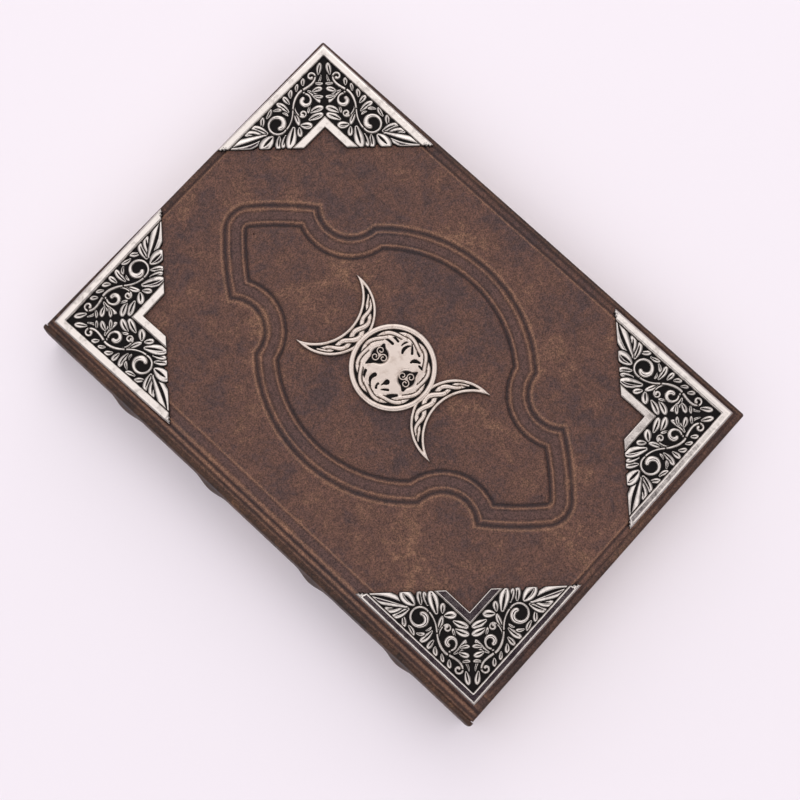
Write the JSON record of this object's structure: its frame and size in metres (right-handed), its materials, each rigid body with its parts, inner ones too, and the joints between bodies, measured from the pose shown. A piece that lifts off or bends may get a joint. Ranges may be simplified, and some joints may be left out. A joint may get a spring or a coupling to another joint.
{
  "type": "metal-decorated notebook",
  "caption": "Hand-bound leather notebook with hinged covers, raised bands on the spine, silvered scrollwork corner plates and a triple-moon emblem on the tooled front cover.",
  "frame": {"origin": "under the middle of the book, on the surface that its back cover lies on", "axes": "+X from the spine to the fore edge, +Y from the tail to the head, +Z out of the front cover"},
  "size_m": [0.1626, 0.226, 0.0343],
  "materials": {
    "leather": "mottled dark brown pull-up leather, blind tooled",
    "antique_silver": "silvered white metal casting, blackened recesses, polished high points",
    "pages": "uncoated cream paper, stacked edges",
    "endpaper": "laid cream endpaper",
    "board": "grey-brown bookbinding board",
    "lining": "open-weave mull glued down",
    "band_core": "plain leather strip",
    "headband_thread": "woven thread bead"
  },
  "bodies": {
    "root": {"text_block": "pages", "spine_lining": "lining", "head_band": "headband_thread", "tail_band": "headband_thread", "raised_band_1": "band_core", "raised_band_2": "band_core", "raised_band_3": "band_core", "raised_band_4": "band_core", "spine_leather": "leather"},
    "front_cover": {"front_board": "board", "front_leather": "leather", "front_pastedown": "endpaper", "corner_head_spine": "antique_silver", "corner_head_fore": "antique_silver", "corner_tail_fore": "antique_silver", "corner_tail_spine": "antique_silver", "moon_emblem": "antique_silver"},
    "back_cover": {"back_board": "board", "back_leather": "leather", "back_pastedown": "endpaper"}
  },
  "joints": [
    {"name": "front_hinge", "type": "hinge", "parent": "root", "child": "front_cover", "pos_m": [-0.07742, 0, 0.0318], "axis": [0, -1, 0], "range_deg": [0, 180]},
    {"name": "back_hinge", "type": "hinge", "parent": "root", "child": "back_cover", "pos_m": [-0.07742, 0, 0], "axis": [0, 1, 0], "range_deg": [0, 180]}
  ]
}
